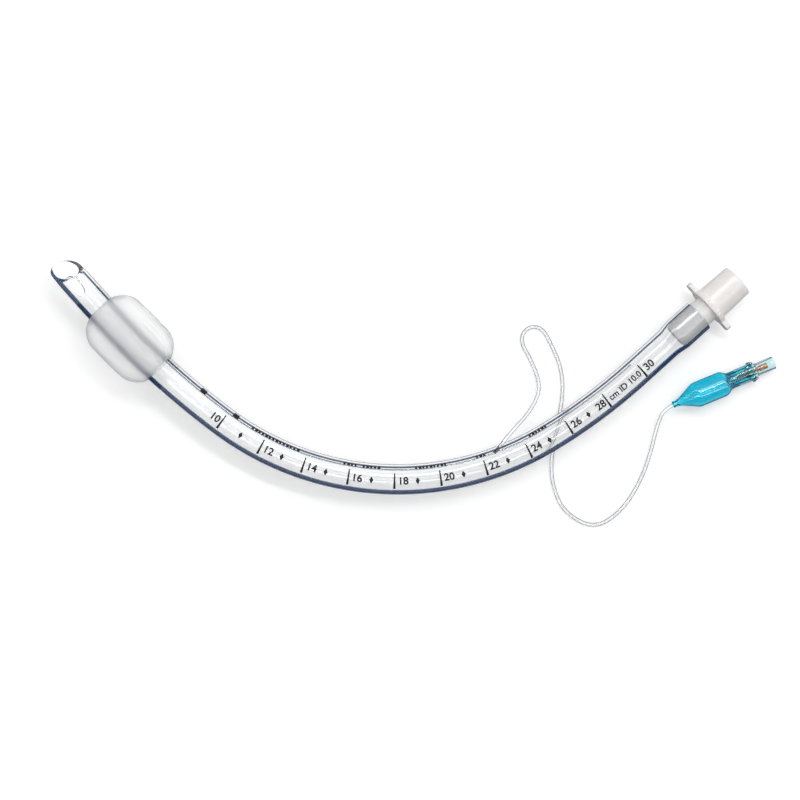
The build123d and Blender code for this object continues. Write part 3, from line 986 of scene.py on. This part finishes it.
def make_spring():
    """The valve spring: a round wire along a helix whose end turns close up flat."""
    turns = SPRING_TURNS + 2
    along = np.linspace(0.0, 1.0, 40 * turns + 1)
    length = COLLAR_BACK - CHAMBER_FLOOR - 2 * SPRING_WIRE - 0.1
    lead = 1 / turns
    rise = np.interp(along, [0.0, lead, 1 - lead, 1.0], [0.0, 0.06, 0.94, 1.0])
    distance = CHAMBER_FLOOR + SPRING_WIRE + 0.05 + rise * length
    path = about_balloon(distance, along * turns * 2 * pi, np.full(along.shape, SPRING_RADIUS))
    forward = unit(np.gradient(path, axis=0))
    outwards = unit(path - (BALLOON_START + distance[:, None] * BALLOON_AXIS))
    third = np.cross(forward, outwards)
    turn = around_angles(10)[None, :, None]
    section = np.cos(turn) * outwards[:, None] + np.sin(turn) * third[:, None]
    wire = path[:, None] + SPRING_WIRE * section
    ends = np.repeat(path[[0, -1]][:, None], 10, axis=1)
    rows = np.concatenate([ends[:1], wire, ends[1:]])
    points = rows.reshape(-1, 3)
    faces = outward(points, ring_faces(len(rows), 10, rows_closed=False))
    spring = mesh_object("spring_coil", [(points, faces)])
    right_way_out(spring)
    smooth(spring, 40.0)
    dress(spring, "root", "spring_steel", SPRING_STEEL, "valve_spring")
    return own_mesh(spring)


def make_line():
    """The inflation line: one smooth round cord on the chosen points."""
    curve = bpy.data.curves.new("inflation_tubing", "CURVE")
    curve.dimensions = "3D"
    curve.resolution_u = 16
    curve.bevel_depth = LINE_RADIUS * MM
    curve.bevel_resolution = 6
    curve.use_fill_caps = True
    spline = curve.splines.new("NURBS")
    spline.points.add(len(LINE_POINTS) - 1)
    for spot, place in zip(spline.points, LINE_POINTS):
        spot.co = (place[0] * MM, place[1] * MM, place[2] * MM, 1.0)
    spline.order_u = 3
    spline.use_endpoint_u = True
    line = new_object("inflation_tubing", curve)
    dress(line, "root", "line_pvc", LINE_PVC, "inflation_line")
    return line


# Printed scale


def on_tube(points, station, angle):
    """Flat print laid round the tube: x runs along it, y round it to the inside of the curve."""
    lifted = TUBE_RADIUS + INK_LIFT
    return about_tube(station + points[:, 0], angle - points[:, 1] / TUBE_RADIUS, lifted)


def patch(station, angle, corners, rows=10, columns=2):
    """A four-cornered patch of ink: the straight blend of its corners, on a grid."""
    lower_left, lower_right, upper_right, upper_left = (np.array(c, float) for c in corners)
    up = np.linspace(0.0, 1.0, rows)[:, None, None]
    right = np.linspace(0.0, 1.0, columns)[None, :, None]
    lower = lower_left + right * (lower_right - lower_left)
    upper = upper_left + right * (upper_right - upper_left)
    flat = (lower + up * (upper - lower)).reshape(-1, 2)
    return on_tube(flat, station, angle), ring_faces(rows, columns, False, False)


def lettering(text, size, station, angle, align):
    """Numerals and letters cut from a font, sliced finely so that they bend round the tube."""
    curve = bpy.data.curves.new("lettering", "FONT")
    curve.body = text
    curve.size = size
    curve.align_x = align
    curve.align_y = "CENTER"
    curve.offset = STROKE_WEIGHT * size
    holder = new_object("lettering", curve)
    graph = bpy.context.evaluated_depsgraph_get()
    mesh = bpy.data.meshes.new_from_object(holder.evaluated_get(graph))
    bpy.data.objects.remove(holder)
    with edited(mesh) as shape:
        bmesh.ops.remove_doubles(shape, verts=shape.verts, dist=1e-4 * size)
        for height in np.arange(-0.6, 0.61, 0.12) * size:
            everything = shape.verts[:] + shape.edges[:] + shape.faces[:]
            bmesh.ops.bisect_plane(
                shape, geom=everything, plane_co=(0, height, 0), plane_no=(0, 1, 0))
    flat = np.array([vertex.co[:2] for vertex in mesh.vertices])
    return on_tube(flat, station, angle), [face.vertices[:] for face in mesh.polygons]


def ink_object(name, shells):
    """Patches of ink as one piece with a real thickness, its faces away from the tube below it."""
    piece = new_object(name, joined_mesh(name, shells))
    with edited(piece.data) as shape:
        turned = [face for face in shape.faces if face.normal.z < 0]
        bmesh.ops.reverse_faces(shape, faces=turned)
    solid = piece.modifiers.new("ink", "SOLIDIFY")
    solid.thickness = INK_THICKNESS * MM
    solid.offset = 1.0
    settle(piece)
    return dress(piece, "root", "seal_rubber", INK)


def scale_angle(station):
    """The angle of the scale's middle, which wanders a little round the tube along its length."""
    return radians(SCALE_ANGLE + SCALE_DRIFT * max(0.0, station - SCALE_DRIFT_START))


def scale_shapes():
    """The scale's marks, each wider at its lower end, and the diamonds between them."""
    half_height = radians(SCALE_HALF_ANGLE) * TUBE_RADIUS
    low, high = (width / 2 for width in TICK_WIDTHS)
    tick = [(-low, -half_height), (low, -half_height), (high, half_height), (-high, half_height)]
    wide, tall = DIAMOND_HALF_SIZE
    diamond = [(0.0, -tall), (wide, 0.0), (0.0, tall), (-wide, 0.0)]
    shapes = []
    for number in range(SCALE_MARKS):
        station = SCALE_START + number * SCALE_PITCH
        shapes.append(patch(station, scale_angle(station), tick))
        if number < SCALE_MARKS - 2:
            station += SCALE_PITCH / 2
            shapes.append(patch(station, scale_angle(station), diamond, rows=4, columns=4))
    return shapes


def numeral_shapes():
    """The number beside each mark, and the unit and the bore's size before the last."""
    shapes = []
    for number in range(SCALE_MARKS):
        station = SCALE_START + number * SCALE_PITCH
        value = SCALE_FIRST + 2 * number
        turned = scale_angle(station)
        if value in NUMERALS_BEFORE_TICK:
            place, side = station - NUMERAL_GAP_BEFORE, "RIGHT"
        else:
            place, side = station + NUMERAL_GAP, "LEFT"
        shapes.append(lettering(str(value), NUMERAL_SIZE, place, turned, side))
    station = SCALE_START + (SCALE_MARKS - 2) * SCALE_PITCH + NUMERAL_GAP
    shapes.append(lettering("cm ID 10.0", LETTER_SIZE, station, scale_angle(station), "LEFT"))
    return shapes


def guide_shapes():
    """The two guide squares, and plain bars of two widths in runs."""
    half = SQUARE_SIZE / 2
    square = [(-half, -half), (half, -half), (half, half), (-half, half)]
    shapes = [patch(station, radians(SQUARE_ANGLE), square, rows=4) for station in SQUARE_STATIONS]
    for start, end in BAR_RUNS:
        count = max(1, round((end - start) / BAR_PITCH))
        pitch = (end - start) / count
        for step in range(count):
            width = pitch * BAR_SHARES[step % 3]
            low, high = -BAR_HEIGHT / 2, BAR_HEIGHT / 2
            bar = [(0.0, low), (width, low), (width, high), (0.0, high)]
            shapes.append(patch(start + step * pitch, radians(BAR_ANGLE), bar, rows=3))
    return shapes


# Floor, light and camera


def in_reflection(tree, path):
    """1 where a reflection sees the surface, and not light that goes through a clear piece."""
    not_through = calculated(tree, "SUBTRACT", 1.0, path["Is Transmission Ray"])
    return multiplied(tree, path["Is Glossy Ray"], not_through)


def floor_darkness(tree, path):
    """How far the floor is dark, behind the wall of a clear piece or in a gloss."""
    low_angle = spread(tree, lowness(tree), 0.0, 1.0, *FLOOR_DARK_BEHIND_WALL)
    steep = spread(tree, lowness(tree), FLOOR_DARK_IN_GLOSS, 0.0, *FLOOR_DARK_IN_GLOSS_FADE)
    behind_wall = multiplied(tree, path["Is Transmission Ray"], path["Glossy Depth"], low_angle)
    in_gloss = multiplied(tree, in_reflection(tree, path), steep)
    darkness = calculated(tree, "MAXIMUM", behind_wall, in_gloss)
    darkness.node.use_clamp = True
    return darkness


def floor_glow(tree, path):
    """The floor's glow: one for the camera or a gloss, one behind clear pieces, or else none."""
    seen = calculated(tree, "MAXIMUM", path["Is Camera Ray"], path["Is Glossy Ray"])
    direct = multiplied(tree, seen, FLOOR_GLOW)
    behind = multiplied(tree, path["Is Transmission Ray"], FLOOR_GLOW_BEHIND)
    return calculated(tree, "MAXIMUM", direct, behind)


def make_stage():
    """A pale floor that the camera, metal and glass see as white, with the object's shadow on it.

    Seen through clear plastic at a low angle it is dark, as the far side of a studio is, which
    draws the dark lines along the walls of clear pieces.
    """
    corners = FLOOR_HALF_WIDTH * np.array([(-1, -1, 0), (1, -1, 0), (1, 1, 0), (-1, 1, 0)])
    floor = new_object("studio_floor", joined_mesh("studio_floor", [(corners, [range(4)])]))
    material = bpy.data.materials.new("studio_floor")
    material.use_nodes = True
    tree = material.node_tree
    tree.nodes.clear()
    path = tree.nodes.new("ShaderNodeLightPath").outputs
    matte = add_node(tree, "ShaderNodeBsdfDiffuse", {"Color": (*FLOOR_COLOUR, 1.0)})
    glow = add_node(tree, "ShaderNodeEmission", {"Strength": floor_glow(tree, path)})
    dark = add_node(tree, "ShaderNodeEmission", {"Color": (*FLOOR_DARK_COLOUR, 1.0)})
    lit = add_node(tree, "ShaderNodeAddShader", {0: matte.outputs[0], 1: glow.outputs[0]})
    shares = {0: floor_darkness(tree, path), 1: lit.outputs[0], 2: dark.outputs[0]}
    blend = add_node(tree, "ShaderNodeMixShader", shares)
    add_node(tree, "ShaderNodeOutputMaterial", {"Surface": blend.outputs[0]})
    give(floor, material)


def gloss_bands(tree):
    """The sky's two soft-edged bands, worked out from the tangent of the tilt: y over z."""
    place = tree.nodes.new("ShaderNodeTexCoord").outputs["Generated"]
    parts = add_node(tree, "ShaderNodeSeparateXYZ", {0: place}).outputs
    tilt = calculated(tree, "DIVIDE", parts["Y"], parts["Z"])
    above = calculated(tree, "GREATER_THAN", parts["Z"], 0.1)
    bands = []
    for middle, reach in GLOSS_BANDS:
        away = calculated(tree, "ABSOLUTE", calculated(tree, "SUBTRACT", tilt, middle))
        bands.append(spread(tree, away, 1.0, 0.0, reach * 0.5, reach * 1.5))
    return multiplied(tree, calculated(tree, "ADD", *bands), above)


def make_world():
    """Soft light from all round, brightest from above the inside of the curve, seen as white.

    A gloss sees two bright bands in it besides.
    """
    world = bpy.data.worlds.new("studio")
    bpy.context.scene.world = world
    world.use_nodes = True
    tree = world.node_tree
    path = tree.nodes.new("ShaderNodeLightPath").outputs
    towards_key = along_direction(tree, "Generated", KEY_DIRECTION)
    light = spread(tree, towards_key, WORLD_LOW, WORLD_HIGH, *KEY_SPREAD)
    seen = add_node(tree, "ShaderNodeMix", {0: path["Is Camera Ray"], 2: light, 3: 1.0}).outputs[0]
    streaks = multiplied(tree, gloss_bands(tree), in_reflection(tree, path), GLOSS_GLOW)
    total = calculated(tree, "ADD", seen, streaks)
    set_inputs(tree.nodes["Background"], {"Color": (1.0, 1.0, 1.0, 1.0), "Strength": total})


def make_lamp(name, place, size, energy):
    """A soft lamp of a size and at a place in millimetres, which points at the frame's origin."""
    lamp = bpy.data.lights.new(name, "AREA")
    lamp.shape = "RECTANGLE"
    lamp.size = size[0] * MM
    lamp.size_y = size[1] * MM
    lamp.energy = energy
    holder = new_object(name, lamp)
    holder.location = Vector(place) * MM
    holder.rotation_euler = (-Vector(place)).to_track_quat("-Z", "Y").to_euler()


def make_camera():
    """The photograph's camera: straight above, looking down."""
    data = bpy.data.cameras.new("camera")
    data.sensor_width = 36.0
    data.lens = data.sensor_width / 2 * PIXEL_FOCUS / HALF_FRAME
    data.clip_start = 0.01
    data.clip_end = 20.0
    camera = new_object("camera", data)
    camera.location = [v * MM for v in CAMERA_PLACE]
    bpy.context.scene.camera = camera


make_tube()
make_stripe()
make_cuff()
balloon = make_balloon()
softened_copy("connector_15mm", "cone_connector", 0.15, "root", "connector_plastic",
              CONNECTOR_PLASTIC)
housing = softened_copy("valve_body", "valve_housing", 0.1, "root", "valve_blue", VALVE_PLASTIC)
socket = softened_copy("valve_port", "luer_port", 0.08, "root", "port_clear", PORT_PLASTIC)
stem = softened_copy("valve_plunger", "plunger_stem", 0.08, "plunger", "plunger_orange",
                     PLUNGER_ORANGE)
washer = softened_copy("valve_seal", "plunger_washer", 0.08, "plunger", "seal_rubber", SEAL_RUBBER)
coil = make_spring()
make_line()
ink_object("scale_marks", scale_shapes())
ink_object("scale_numerals", numeral_shapes())
ink_object("guide_marks", guide_shapes())

make_stage()
make_world()
make_lamp("key_lamp", (150.0, 310.0, 700.0), (700.0, 60.0), 1.7)
make_lamp("streak_lamp", (0.0, -60.0, 760.0), (1100.0, 20.0), 0.35)
make_camera()
bpy.context.scene.view_settings.view_transform = "Standard"
